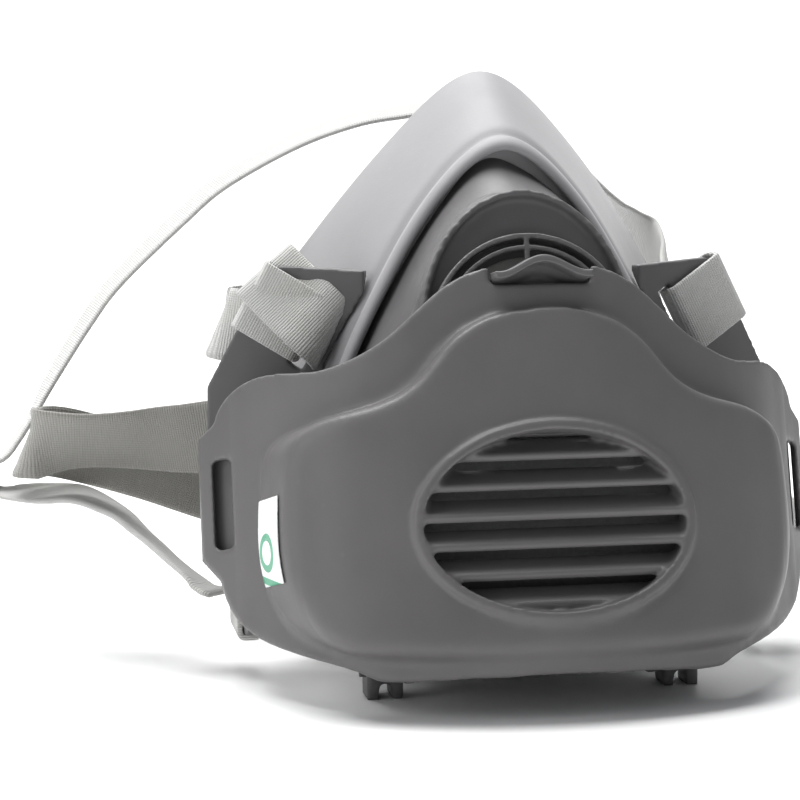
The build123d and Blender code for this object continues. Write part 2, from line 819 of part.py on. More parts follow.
with BuildPart() as neck_strap_right:
    ribbon(
        [
            ((low_anchor_x, strut_slot_y + 0.5, low_anchor_z), (0, 1, 0)),
            ((59.8, 30.2, low_anchor_z + 0.8), (-0.05, 1, 0)),
            ((63, 34.2, 19.5), (-0.4, 0.85, -0.35)),
            ((63.2, 41.5, 22.5), (-0.5, 0.4, -0.75)),
            ((61, 49.5, 24.8), (-0.3, 0, -0.95)),
            ((57, 55.6, 26), (-0.2, 0, -1)),
            ((50, 62.5, 27), (-0.1, 0, -1)),
            ((36, 70, 28.6), (0, 0, -1)),
            ((10, strap_lie + 1, 29.6), (0, 0, -1)),
            ((-18, strap_lie, clasp_z), (0, 0, -1)),
            ((clasp_x + 6, strap_lie, clasp_z), (0, 0, -1)),
        ]
    )
finish(neck_strap_right, "neck_strap_right")

# ---------------------------------------------------------------- neck clasp
clasp_plane = Plane(origin=(clasp_x, clasp_y, clasp_z), x_dir=(1, 0, 0), z_dir=(0, -1, 0))
clasp_height = strap_width + 5
with BuildPart() as clasp_hook:
    with BuildSketch(clasp_plane):
        with Locations((-9, 0)):
            RectangleRounded(14, clasp_height, 2)
        with Locations((-12.5, 0)):
            Rectangle(3, strap_width + 0.8, mode=Mode.SUBTRACT)
    extrude(amount=2)
    with BuildSketch(clasp_plane):
        with Locations((-4.5, 0)):
            Rectangle(4, 9)
    extrude(amount=4.3)
    with BuildSketch(clasp_plane.offset(2.3)):
        with Locations((-0.5, 0)):
            Rectangle(12, 9)
    extrude(amount=2)
    with BuildSketch(clasp_plane):
        with Locations((4.5, 0)):
            Rectangle(2, 9)
    extrude(amount=4.3)
finish(clasp_hook, "neck_clasp_hook")

with BuildPart() as clasp_loop:
    with BuildSketch(clasp_plane):
        with Locations((8, 0)):
            RectangleRounded(16, clasp_height, 2)
        with Locations((12.5, 0)):
            Rectangle(3, strap_width + 0.8, mode=Mode.SUBTRACT)
        with Locations((4.6, 0)):
            Rectangle(4.8, 12, mode=Mode.SUBTRACT)
    extrude(amount=2)
finish(clasp_loop, "neck_clasp_loop")
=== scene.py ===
"""Looks of the half-face painter's respirator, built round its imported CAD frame."""

from math import cos, pi, radians, sin

import bmesh
import bpy
import numpy as np
from mathutils import Matrix, Vector


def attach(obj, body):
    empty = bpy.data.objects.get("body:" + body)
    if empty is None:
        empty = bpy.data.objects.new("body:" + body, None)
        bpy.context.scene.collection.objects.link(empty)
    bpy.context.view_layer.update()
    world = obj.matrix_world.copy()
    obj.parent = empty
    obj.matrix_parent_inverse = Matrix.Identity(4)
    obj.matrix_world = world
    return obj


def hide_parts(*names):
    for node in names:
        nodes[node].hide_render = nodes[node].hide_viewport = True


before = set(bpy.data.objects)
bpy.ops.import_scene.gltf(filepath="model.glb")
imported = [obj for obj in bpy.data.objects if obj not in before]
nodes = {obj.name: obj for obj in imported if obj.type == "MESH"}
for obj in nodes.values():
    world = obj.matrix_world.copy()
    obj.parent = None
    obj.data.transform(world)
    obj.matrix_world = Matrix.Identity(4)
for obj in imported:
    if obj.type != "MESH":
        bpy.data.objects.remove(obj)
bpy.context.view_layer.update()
MM = 0.001

# ------------------------------------------------------------------ camera
camera_data = bpy.data.cameras.new("photo_camera")
camera_data.lens = 111.1  # mm, for a 36 mm sensor
camera_data.sensor_width = 36
camera_data.clip_start = 0.01
camera_data.dof.use_dof = False
camera = bpy.data.objects.new("photo_camera", camera_data)
right, up, back = (0.9869, -0.1608, -0.0133), (0.0289, 0.0955, 0.995), (-0.1587, -0.9824, 0.0989)
place = (-0.0993, -0.4605, 0.1033)
camera.matrix_world = Matrix(
    [[right[i], up[i], back[i], place[i]] for i in range(3)] + [[0, 0, 0, 1]]
)
bpy.context.scene.collection.objects.link(camera)
bpy.context.scene.camera = camera

# ------------------------------------------------------------------ the cover's leaning view
LEAN = radians(13.7)
VENT = np.array([0.0, -25.0, 36.5])
BACK = np.array([0.0, cos(LEAN), -sin(LEAN)])
UP = np.array([0.0, sin(LEAN), cos(LEAN)])
FLANGE_RADIUS, FLANGE_FRONT = 62.0, 1.8
PANEL_RADIUS, PANEL_FRONT = 94.0, -1.2


def lean(points):
    """Across, back and up in the cover's leaning view, in mm, of points in metres."""
    p = np.asarray(points) / MM - VENT
    return np.stack([p[:, 0], p @ BACK, p @ UP], axis=1)


def unlean(across, back, height):
    """The reverse of lean(), for one point in mm, in metres."""
    return (VENT + np.array([across, 0, 0]) + BACK * back + UP * height) * MM


def periodic_spline(points, per_run):
    """Smooth closed curve through points, by chord length, with per_run samples a run."""
    p = np.asarray(points, float)
    n = len(p)
    h = np.linalg.norm(np.roll(p, -1, 0) - p, axis=1)
    a = np.zeros((n, n))
    rhs = np.zeros((n, p.shape[1]))
    for i in range(n):
        before, after = h[i - 1], h[i]
        a[i, i - 1] += before
        a[i, i] += 2 * (before + after)
        a[i, (i + 1) % n] += after
        rhs[i] = 6 * ((p[(i + 1) % n] - p[i]) / after - (p[i] - p[i - 1]) / before)
    m = np.linalg.solve(a, rhs)
    out = []
    for i in range(n):
        j = (i + 1) % n
        for k in range(per_run):
            t = h[i] * k / per_run
            s = h[i] - t
            out.append(
                (m[i] * s**3 + m[j] * t**3) / (6 * h[i])
                + (p[i] / h[i] - m[i] * h[i] / 6) * s
                + (p[j] / h[i] - m[j] * h[i] / 6) * t
            )
    return np.array(out)


def mirrored(points):
    """A half outline and its mirror image, as one closed list."""
    return list(points) + [(-x, z) for x, z in reversed(points[1:-1])]


# ------------------------------------------------------------------ materials
class Look:
    """A principled material and a few short ways of feeding its colour, roughness and bump."""

    def __init__(self, name, color, rough, **sockets):
        self.material = bpy.data.materials.new(name)
        self.material.use_nodes = True
        self.tree = self.material.node_tree
        self.shader = self.tree.nodes["Principled BSDF"]
        self.shader.inputs["Base Color"].default_value = (*color, 1)
        self.shader.inputs["Roughness"].default_value = rough
        for key, value in sockets.items():
            self.shader.inputs[key.replace("_", " ")].default_value = value
        self.color = color
        self.rough = rough
        self.height = None
        self.coords = self.node("ShaderNodeTexCoord").outputs["Object"]

    def node(self, kind, **values):
        made = self.tree.nodes.new(kind)
        for key, value in values.items():
            setattr(made, key, value)
        return made

    def link(self, a, b):
        self.tree.links.new(a, b)

    def noise(self, scale, detail=4.0, rough=0.55, vector=None):
        made = self.node("ShaderNodeTexNoise")
        made.inputs["Scale"].default_value = scale
        made.inputs["Detail"].default_value = detail
        made.inputs["Roughness"].default_value = rough
        self.link(vector or self.coords, made.inputs["Vector"])
        return made.outputs["Fac"]

    def ramp(self, value, low, high, out_low=0.0, out_high=1.0):
        made = self.node("ShaderNodeMapRange")
        for k, v in zip(("From Min", "From Max", "To Min", "To Max"), (low, high, out_low, out_high)):
            made.inputs[k].default_value = v
        self.link(value, made.inputs["Value"])
        return made.outputs["Result"]

    def math(self, kind, a, b):
        made = self.node("ShaderNodeMath", operation=kind)
        for socket, value in zip(made.inputs, (a, b)):
            if isinstance(value, (int, float)):
                socket.default_value = value
            else:
                self.link(value, socket)
        return made.outputs[0]

    def tint(self, value, other):
        """Mixes the base colour towards another by a value from 0 to 1."""
        made = self.node("ShaderNodeMix", data_type="RGBA")
        current = self.shader.inputs["Base Color"]
        if current.is_linked:
            self.link(current.links[0].from_socket, made.inputs[6])
        else:
            made.inputs[6].default_value = (*self.color, 1)
        made.inputs[7].default_value = (*other, 1)
        self.link(value, made.inputs[0])
        self.link(made.outputs[2], current)

    def roughness(self, value):
        self.link(value, self.shader.inputs["Roughness"])

    def bump(self, value, distance, strength=1.0):
        made = self.node("ShaderNodeBump")
        made.inputs["Distance"].default_value = distance
        made.inputs["Strength"].default_value = strength
        self.link(value, made.inputs["Height"])
        if self.height is not None:
            self.link(self.height, made.inputs["Normal"])
        self.height = made.outputs["Normal"]
        self.link(self.height, self.shader.inputs["Normal"])


def moulded(name, color, rough=0.42, grain=0.00003, wear=0.10):
    """Moulded plastic: fine spark-eroded grain, slow colour drift, lighter rubbed edges."""
    look = Look(name, color, rough, Specular_IOR_Level=0.42)
    darker = tuple(c * 0.86 for c in color)
    lighter = tuple(min(1, c * 1.5 + 0.02) for c in color)
    look.tint(look.ramp(look.noise(38, 5), 0.38, 0.72), darker)
    edge = look.ramp(look.node("ShaderNodeNewGeometry").outputs["Pointiness"], 0.53, 0.62, 0, wear)
    look.tint(look.math("MULTIPLY", edge, look.ramp(look.noise(600, 3), 0.3, 0.6)), lighter)
    look.roughness(look.ramp(look.noise(90, 4), 0.3, 0.7, rough - 0.05, rough + 0.08))
    look.bump(look.noise(4200, 2, 0.6), grain)
    look.bump(look.noise(420, 3), grain * 1.6, 0.6)
    return look.material


def elastomer(name, color, rough=0.55, sheen=0.25):
    """Soft rubber: dusty sheen, faint mottling and a very fine skin."""
    look = Look(name, color, rough, Specular_IOR_Level=0.35, Sheen_Weight=sheen, Sheen_Roughness=0.5)
    look.tint(look.ramp(look.noise(26, 5), 0.4, 0.75), tuple(c * 0.88 for c in color))
    look.tint(look.ramp(look.noise(1500, 2), 0.62, 0.8, 0, 0.3), tuple(min(1, c * 1.2) for c in color))
    look.roughness(look.ramp(look.noise(60, 4), 0.3, 0.7, rough - 0.06, rough + 0.08))
    look.bump(look.noise(3600, 2), 0.00003)
    look.bump(look.noise(150, 3), 0.00012, 0.5)
    return look.material


def webbing(name, color):
    """Knitted elastic webbing: crosswise ribs, lengthwise cords and stray fibres."""
    look = Look(name, color, 0.85, Specular_IOR_Level=0.2, Sheen_Weight=0.35, Sheen_Roughness=0.6)
    uv = look.node("ShaderNodeTexCoord").outputs["UV"]
    split = look.node("ShaderNodeSeparateXYZ")
    look.link(uv, split.inputs[0])
    along = look.math("MULTIPLY", split.outputs[0], 2 * pi / 1.05)
    across = look.math("MULTIPLY", split.outputs[1], 2 * pi / 0.95)
    rib = look.math("ABSOLUTE", look.math("SINE", along, 0), 0)
    cord = look.math("ABSOLUTE", look.math("SINE", across, 0), 0)
    weave = look.math("ADD", look.math("MULTIPLY", rib, 0.65), look.math("MULTIPLY", cord, 0.35))
    look.tint(look.ramp(weave, 0.0, 0.55, 0.75, 0.0), tuple(c * 0.62 for c in color))
    yellowed = tuple(c * f for c, f in zip(color, (0.93, 0.92, 0.86)))
    look.tint(look.ramp(look.noise(55, 5), 0.45, 0.8, 0, 0.5), yellowed)
    look.bump(weave, 0.00022, 0.9)
    look.bump(look.noise(5200, 3, 0.7), 0.00006, 0.8)
    return look.material


def fleece(name, color, rough=0.95):
    """Non-woven filter felt: tangled fibres and a faint pressed dimple pattern."""
    look = Look(name, color, rough, Specular_IOR_Level=0.15, Sheen_Weight=0.4, Sheen_Roughness=0.7)
    look.tint(look.ramp(look.noise(900, 6, 0.7), 0.4, 0.65), tuple(c * 0.8 for c in color))
    dimple = look.node("ShaderNodeTexVoronoi")
    dimple.inputs["Scale"].default_value = 420
    look.link(look.coords, dimple.inputs["Vector"])
    look.bump(dimple.outputs["Distance"], 0.0002, 0.5)
    look.bump(look.noise(2600, 5, 0.75), 0.00025, 0.9)
    return look.material


def label_film(name):
    """White film with a plain green dot and bar, no lettering."""
    look = Look(name, (0.78, 0.80, 0.79), 0.28, Specular_IOR_Level=0.5)
    split = look.node("ShaderNodeSeparateXYZ")
    look.link(look.coords, split.inputs[0])
    centre = unlean(-52.3, 23.5, -2.0)
    dy = look.math("SUBTRACT", split.outputs[1], float(centre[1]))
    dz = look.math("SUBTRACT", split.outputs[2], float(centre[2]))
    far = look.math("SQRT", look.math("ADD", look.math("POWER", dy, 2.0), look.math("POWER", dz, 2.0)), 0)
    ring = look.math("LESS_THAN", look.math("ABSOLUTE", look.math("SUBTRACT", far, 0.0030), 0), 0.0007)
    look.tint(ring, (0.03, 0.30, 0.16))
    low = look.math("LESS_THAN", dz, -0.0048)
    look.tint(look.math("MULTIPLY", low, look.math("GREATER_THAN", dz, -0.0062)), (0.03, 0.30, 0.16))
    look.roughness(look.ramp(look.noise(200, 3), 0.3, 0.7, 0.24, 0.36))
    look.bump(look.noise(900, 2), 0.00002, 0.5)
    return look.material


grey = moulded("cover_plastic", (0.112, 0.108, 0.108))
frame_grey = moulded("frame_plastic", (0.105, 0.102, 0.104), 0.46)
dark_grey = moulded("dark_plastic", (0.05, 0.05, 0.052), 0.5)
guard_grey = moulded("guard_plastic", (0.15, 0.147, 0.147), 0.4)
seal_grey = elastomer("seal_elastomer", (0.285, 0.28, 0.288))
flap_rubber = elastomer("flap_silicone", (0.30, 0.295, 0.28), 0.4, 0.1)
gasket_rubber = elastomer("gasket_rubber", (0.03, 0.03, 0.03), 0.7, 0.1)
white_webbing = webbing("white_webbing", (0.52, 0.52, 0.505))
# darker, greyer copy of the webbing colour: painted shade for the neck band, whose face turns away from the
# light
painted_shade_webbing = webbing("painted_shade_webbing", (0.27, 0.265, 0.245))
# dark fleece colours: the felt's near-black is the carbon's own colour, and the pad's dark grey and the felt's
# near-black are also painted shade for the deep shadow between the cover's louvre slats
pad_fleece = fleece("filter_fleece", (0.10, 0.10, 0.10))
carbon_and_shade_fleece = fleece("carbon_and_shade_fleece", (0.035, 0.035, 0.037))
film = label_film("label_film")


# ------------------------------------------------------------------ mesh tools
def new_object(name, verts, faces, material, smooth=True):
    """Object from points in metres and faces."""
    mesh = bpy.data.meshes.new(name)
    mesh.from_pydata([tuple(v) for v in verts], [], [tuple(f) for f in faces])
    mesh.update()
    fixed = bmesh.new()
    fixed.from_mesh(mesh)
    bmesh.ops.recalc_face_normals(fixed, faces=fixed.faces)
    fixed.to_mesh(mesh)
    fixed.free()
    mesh.materials.append(material)
    for polygon in mesh.polygons:
        polygon.use_smooth = smooth
    made = bpy.data.objects.new(name, mesh)
    bpy.context.scene.collection.objects.link(made)
    return made


def points_of(mesh):
    """The mesh's points as rows of doubles, in metres."""
    co = np.zeros(len(mesh.vertices) * 3, np.float32)
    mesh.vertices.foreach_get("co", co)
    return co.reshape(-1, 3).astype(float)


def set_points(mesh, co):
    mesh.vertices.foreach_set("co", co.astype(np.float32).ravel())
    mesh.update()


def take_place(made, node, body):
    """made stands for a CAD node, which it hides, and rides on its body."""
    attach(made, body)
    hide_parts(node)


def softened(node, name, voxel, material, rounds=3, weights=None, heavy=0):
    """Copy of a CAD node's mesh with moulded, rounded edges instead of knife edges."""
    made = bpy.data.objects.new(name, nodes[node].data.copy())
    bpy.context.scene.collection.objects.link(made)
    remesh = made.modifiers.new("voxels", "REMESH")
    remesh.mode = "VOXEL"
    remesh.voxel_size = voxel * MM
    bpy.context.view_layer.update()
    mesh = bpy.data.meshes.new_from_object(made.evaluated_get(bpy.context.evaluated_depsgraph_get()))
    made.modifiers.clear()
    made.data = mesh
    count = len(mesh.vertices)
    co = points_of(mesh)
    edges = np.zeros(len(mesh.edges) * 2, np.int32)
    mesh.edges.foreach_get("vertices", edges)
    a, b = edges.reshape(-1, 2).T
    degree = np.bincount(np.concatenate([a, b]), minlength=count)[:, None]

    def mean(points):
        total = np.zeros_like(points)
        for axis in range(3):
            total[:, axis] = np.bincount(a, points[b, axis], count) + np.bincount(b, points[a, axis], count)
        return total / degree

    for _ in range(rounds):
        co += 0.6 * (mean(co) - co)
        co -= 0.3 * (mean(co) - co)
    if weights is not None:
        w = weights(co)[:, None]
        for _ in range(heavy):
            co += 0.7 * w * (mean(co) - co)
    set_points(mesh, co)
    mesh.materials.clear()
    mesh.materials.append(material)
    for polygon in mesh.polygons:
        polygon.use_smooth = True
    return made


# ------------------------------------------------------------------ filter cover
PANEL_HALF, PANEL_TOP, PANEL_BASE, PANEL_SIDE = 51.0, 39.6, -24.4, 21.2
panel_outline = periodic_spline(
    mirrored(
        [
            (0, PANEL_TOP),
            (8.5, PANEL_TOP - 0.9),
            (17.8, PANEL_TOP - 5.6),
            (25.0, PANEL_TOP - 13.4),
            (34.2, PANEL_SIDE + 1.4),
            (PANEL_HALF - 7.5, PANEL_SIDE + 0.1),
            (PANEL_HALF - 1.6, PANEL_SIDE - 2.8),
            (PANEL_HALF, PANEL_SIDE - 10.0),
            (PANEL_HALF - 0.2, PANEL_BASE + 17.0),
            (PANEL_HALF - 5.2, PANEL_BASE + 6.0),
            (PANEL_HALF - 19.0, PANEL_BASE + 1.4),
            (0, PANEL_BASE),
        ]
    ),
    14,
)


def outline_distance(points, outline):
    """Distance of each point to a closed outline, in its plane."""
    best = np.full(len(points), 1e9)
    for p, q in zip(outline, np.roll(outline, -1, 0)):
        run = q - p
        t = np.clip(((points - p) @ run) / max(run @ run, 1e-9), 0, 1)
        best = np.minimum(best, np.hypot(*(points - p - t[:, None] * run).T))
    return best


def crest_weights(co):
    """How far each point of the cover is rounded over: most on the panel's deep side edges."""
    local = lean(co)
    x, b = np.minimum(np.abs(local[:, 0]), 58), local[:, 1]
    panel = PANEL_FRONT + PANEL_RADIUS - np.sqrt(PANEL_RADIUS**2 - x**2)
    flange = FLANGE_FRONT + FLANGE_RADIUS - np.sqrt(FLANGE_RADIUS**2 - x**2)
    near = np.clip(1.25 - outline_distance(local[:, [0, 2]], panel_outline) / 7.0, 0, 1)
    fore = np.clip(1.3 - (b - panel) / 7.0, 0, 1)
    deep = np.clip((flange - panel - 1.5) / 9.0, 0.10, 1)
    low = np.clip((-14.0 - local[:, 2]) / 8.0, 0, 1)
    return near * fore * np.maximum(deep, low)


WALL_FLARE, WALL_DRAFT = 0.6, 3.2  # mm outwards at the flange, and mm drawn in from there to the corner


def drafted(made):
    """Slopes the panel's side walls: narrower at the front corner, wider where they meet the flange."""
    co = points_of(made.data)
    local = lean(co)
    x, b = np.abs(local[:, 0]), local[:, 1]
    flange = FLANGE_FRONT + FLANGE_RADIUS - np.sqrt(FLANGE_RADIUS**2 - np.minimum(x, 58) ** 2)
    side = np.clip((x - 34.0) / 16.0, 0, 1)
    proud = np.clip((flange - b) / 2.5, 0, 1) * np.clip((56.0 - x) / 2.0, 0, 1)
    shift = WALL_FLARE - WALL_DRAFT * np.clip((28.5 - b) / 13.5, 0, 1.1)
    co[:, 0] += np.sign(local[:, 0]) * shift * side**2 * (3 - 2 * side) * proud * MM
    set_points(made.data, co)


cover = softened("filter_cover", "cover_shell", 0.5, grey, 3, crest_weights, 70)
drafted(cover)
take_place(cover, "filter_cover", "cover")
label = softened("cover_label", "label_sheet", 0.2, film, 1)
drafted(label)
take_place(label, "cover_label", "cover")

# ------------------------------------------------------------------ frame, ears, latch, guard
front = softened("front_frame", "frame_moulding", 0.55, frame_grey, 3)
take_place(front, "front_frame", "facepiece")
for side in ("left", "right"):
    ear = softened(f"strap_ear_{side}", f"ear_{side}", 0.4, frame_grey, 2)
    take_place(ear, f"strap_ear_{side}", "facepiece")
tongue = softened("latch_tab", "latch_tongue", 0.3, frame_grey, 3)
WAVE_LENGTH, WAVE_HEIGHT, WAVE_DROP = 17.0, 1.5, 0.6
for vertex in tongue.data.vertices:
    local = lean([vertex.co])[0]
    raised = min(max((local[2] - 17.5) / 2.5, 0), 1)
    wave = WAVE_HEIGHT * cos(2 * pi * local[0] / WAVE_LENGTH) - WAVE_DROP
    vertex.co += Vector(UP * wave * raised * MM)
take_place(tongue, "latch_tab", "latch")
guard = softened("exhale_valve_guard", "guard_rings", 0.22, guard_grey, 2)
take_place(guard, "exhale_valve_guard", "facepiece")

# ------------------------------------------------------------------ soft face cup
CUP_FRONT, CUP_BACK = 20.0, 66.0
front_ring = periodic_spline(
    mirrored([(0, 105.5), (12.0, 98.0), (24.9, 78.5), (37.5, 42.0), (24.0, 7.5), (0, 1.5)]), 22
)
rear_ring = periodic_spline(
    mirrored([(0, 132.5), (17.0, 119.0), (40.3, 81.5), (50.0, 44.0), (33.0, 8.0), (0, -1.0)]), 22
)


def face_depth(x, z):
    """How far back the wearer's face lies: cheeks round one axis, jaw round another."""
    cheeks = 106.0 - np.sqrt(np.maximum(59.0**2 - x**2, 0))
    jaw = 105.0 - np.sqrt(np.maximum(58.0**2 - (z - 32.0) ** 2, 0))
    soft = 3.0
    mix = np.clip(0.5 + 0.5 * (jaw - cheeks) / soft, 0, 1)
    return jaw + (cheeks - jaw) * mix - soft * mix * (1 - mix)


def cup_ring(depth, inset=0.0):
    """Outline of the cup at the given depths, drawn in along its normal, in mm."""
    t = ((depth - CUP_FRONT) / (CUP_BACK - CUP_FRONT))[:, None]
    ring = front_ring + (rear_ring - front_ring) * t
    along = np.roll(ring, -1, 0) - np.roll(ring, 1, 0)
    inward = np.stack([along[:, 1], -along[:, 0]], axis=1)
    inward /= np.linalg.norm(inward, axis=1)[:, None]
    return ring + inward * inset


flat = np.full(len(front_ring), CUP_FRONT)
rim = flat + 20
for _ in range(60):
    ring = cup_ring(rim)
    rim = rim + 0.5 * (face_depth(ring[:, 0], ring[:, 1]) - rim)
rim = rim - 0.8
rows = []


def add_row(depth, inset):
    ring = cup_ring(depth, inset)
    rows.append(np.stack([ring[:, 0], depth, ring[:, 1]], axis=1))


for depth, inset in ((4.2, 2.2), (2.4, 2.3), (0.9, 2.2), (0.2, 1.7), (0.0, 1.1), (0.2, 0.45), (0.9, 0.05)):
    add_row(flat + depth, inset)
for depth, inset in ((1.9, 0.0), (2.7, 0.25), (3.2, 0.75), (3.8, 0.8), (4.5, 0.35), (5.4, 0.0)):
    add_row(flat + depth, inset)
for share in np.linspace(0.06, 0.94, 16):
    add_row(flat + 5.4 + (rim - flat - 5.4) * share, -0.5 * sin(pi * share) * share)
for short, inset in ((1.2, -0.1), (0.4, 0.25), (0.0, 0.9)):
    add_row(rim - short, inset)


def lip_row(inset, lift):
    """Row of the sealing lip, which turns in and lies on the face."""
    ring = cup_ring(rim, inset)
    rows.append(np.stack([ring[:, 0], face_depth(ring[:, 0], ring[:, 1]) - 0.8 - lift, ring[:, 1]], axis=1))


lip_profile = [(2.2, 0.0), (3.6, 0.15), (5.0, 0.5), (6.0, 1.1), (6.3, 1.8), (5.9, 2.2), (4.8, 1.9), (3.4, 2.2)]
for inset, lift in lip_profile:
    lip_row(inset, lift)
for share in np.linspace(0.92, 0.12, 12):
    add_row(flat + 4.2 + (rim - flat - 4.2) * share, 2.2 + 0.5 * share**4)
for depth, inset in ((6.6, 2.6), (6.0, 3.6), (5.9, 6.5), (5.3, 6.8), (4.7, 6.5), (4.6, 3.4)):
    add_row(flat + depth, inset)
count = len(front_ring)
verts = np.concatenate(rows) * MM
faces = []
for r in range(len(rows)):
    here, after = r * count, ((r + 1) % len(rows)) * count
    faces += [(here + i, here + (i + 1) % count, after + (i + 1) % count, after + i) for i in range(count)]
cup = new_object("face_cup", verts, faces, seal_grey)
refine = cup.modifiers.new("smooth", "SUBSURF")
refine.levels = refine.render_levels = 1
take_place(cup, "face_seal", "facepiece")


# ------------------------------------------------------------------ straps
def catmull(points, step):
    """Points on a smooth curve through the given rows, about step apart in their first three columns."""
    p = np.asarray(points, float)
    ends = np.concatenate([[2 * p[0] - p[1]], p, [2 * p[-1] - p[-2]]])
    out = []
    for i in range(1, len(ends) - 2):
        a, b, c, d = ends[i - 1 : i + 3]
        parts = max(2, int(np.linalg.norm((c - b)[:3]) / step))
        for k in range(parts):
            t = k / parts
            out.append(
                0.5
                * (2 * b + (c - a) * t + (2 * a - 5 * b + 4 * c - d) * t**2 + (3 * b - a - 3 * c + d) * t**3)
            )
    out.append(p[-1])
    return np.array(out)


half_section = [
    (-7.5, 0.0), (-7.35, 0.32), (-6.9, 0.52), (-6.2, 0.6), (-4.8, 0.5), (-2.4, 0.54), (0, 0.5),
    (2.4, 0.54), (4.8, 0.5), (6.2, 0.6), (6.9, 0.52), (7.35, 0.32), (7.5, 0.0),
]  # fmt: skip
BAND_SECTION = half_section + [(x, -y) for x, y in reversed(half_section[1:-1])]


def band(name, stations, material=white_webbing, step=1.6, section=BAND_SECTION):
    """Webbing along stations of centre and width direction, in mm, with its weave laid along it."""
    rows_in = [(*centre, *across) for centre, across in stations]
    path = catmull(rows_in, step)
    centre, across = path[:, :3], path[:, 3:]
    along = np.gradient(centre, axis=0)
    along /= np.linalg.norm(along, axis=1)[:, None]
    across = across - along * np.sum(across * along, axis=1)[:, None]
    across /= np.linalg.norm(across, axis=1)[:, None]
    face = np.cross(along, across)
    run = np.concatenate([[0], np.cumsum(np.linalg.norm(np.diff(centre, axis=0), axis=1))])
    points, size = [], len(section)
    for c, w, n in zip(centre, across, face):
        points.extend(c + w * s + n * t for s, t in section)
    faces = [
        (r * size + i, r * size + (i + 1) % size, (r + 1) * size + (i + 1) % size, (r + 1) * size + i)
        for r in range(len(centre) - 1)
        for i in range(size)
    ]
    faces.append(tuple(range(size)))
    faces.append(tuple(range((len(centre) - 1) * size, len(centre) * size)))
    made = new_object(name, np.array(points) * MM, faces, material)
    layer = made.data.uv_layers.new(name="weave")
    for loop in made.data.loops:
        row, col = divmod(loop.vertex_index, size)
        layer.data[loop.index].uv = (run[row], section[col][0])
    return made


LOW_X, LOW_Z = 56.15, 16.2
crown = band(
    "crown_band",
    [
        ((39.8, 36.2, 72.5), (0.46, 0.19, -0.87)),
        ((41.5, 47, 74.5), (0.4, 0.3, -0.87)),
        ((43, 58, 78.5), (0.2, 0.55, -0.8)),
        ((42, 67, 83.5), (0, 0.85, -0.5)),
        ((38, 70.5, 89), (0, 1, -0.15)),
        ((33, 71, 94.3), (0.08, 1, 0.04)),
        ((22.8, 71, 103.8), (0.07, 1, 0.1)),
        ((9.5, 71, 111), (0.03, 1, 0.13)),
        ((-1.6, 71, 113.2), (0, 1, 0.14)),
        ((-14.5, 71, 112.1), (0, 1, 0.14)),
        ((-24, 71, 110.4), (-0.02, 1, 0.14)),
        ((-36.7, 71, 105.9), (-0.05, 1, 0.13)),
        ((-51.7, 71, 97.8), (-0.07, 1, 0.11)),
        ((-60.7, 71, 90.4), (-0.08, 1, 0.1)),
        ((-74.3, 71, 77.6), (-0.08, 1, 0.08)),
        ((-81, 70.8, 69), (-0.08, 1, 0.06)),
        ((-89.2, 70.2, 56.3), (-0.06, 1, 0.03)),
        ((-93.5, 69.4, 48.5), (0, 1, 0)),
        ((-98.5, 67.8, 41.8), (0, 1, 0)),
        ((-102.2, 66.5, 38.8), (0, 1, 0)),
        ((-103, 65.6, 36.4), (0, 1, 0)),
        ((-101, 64.2, 34.2), (0, 1, 0)),
        ((-93, 60, 33.6), (0, 1, 0.1)),
        ((-84, 55, 33.2), (0, 1, 0.1)),
        ((-77, 50.5, 30.2), (0, 1, 0.1)),
        ((-71.5, 45.5, 25.9), (0, 1, 0.05)),
        ((-66.5, 40, 21.8), (0, 1, 0)),
        ((-62.5, 35.6, 18.8), (0, 1, 0)),
        ((-59.2, 32.4, LOW_Z + 0.5), (0, 1, 0)),
        ((-LOW_X, 30.2, LOW_Z), (0, 1, 0)),
    ],
)
take_place(crown, "crown_strap", "facepiece")
# the left neck band takes the darker webbing colour, which is painted shade because its face is turned from
# the light
neck_left = band(
    "neck_band_left",
    [
        ((-54.4, 39.2, 46.6), (0, 0, -1)),
        ((-58, 41.6, 46.3), (-0.05, 0.1, -1)),
        ((-62, 44, 45.8), (-0.12, 0.3, -0.95)),
        ((-70, 48, 45.4), (-0.2, 0.5, -0.85)),
        ((-80, 50, 45.3), (-0.24, 0.6, -0.76)),
        ((-88, 50.5, 45.3), (-0.3, 0.5, -0.8)),
        ((-93, 52, 45), (-0.38, 0.3, -0.87)),
        ((-94.6, 55.5, 44.5), (-0.4, 0, -0.9)),
        ((-92, 59.5, 44.5), (-0.2, 0, -0.97)),
        ((-86, 62, 43.5), (0, 0, -1)),
        ((-70, 68, 38), (0, 0, -1)),
        ((-55, 72, 32), (0, 0, -1)),
        ((-48, 72.85, 30), (0, 0, -1)),
        ((-40, 72.85, 30), (0, 0, -1)),
    ],
    painted_shade_webbing,
)
take_place(neck_left, "neck_strap_left", "facepiece")
neck_right = band(
    "neck_band_right",
    [
        ((LOW_X, 29.5, LOW_Z), (0, 1, 0)),
        ((59.8, 30.2, LOW_Z + 0.8), (-0.05, 1, 0)),
        ((63, 34.2, 19.5), (-0.4, 0.85, -0.35)),
        ((63.2, 41.5, 22.5), (-0.5, 0.4, -0.75)),
        ((61, 49.5, 24.8), (-0.3, 0, -0.95)),
        ((57, 55.6, 26), (-0.2, 0, -1)),
        ((50, 62.5, 27), (-0.1, 0, -1)),
        ((36, 70, 28.6), (0, 0, -1)),
        ((10, 73.85, 29.6), (0, 0, -1)),
        ((-18, 72.85, 30), (0, 0, -1)),
        ((-28, 72.85, 30), (0, 0, -1)),
    ],
)
take_place(neck_right, "neck_strap_right", "facepiece")

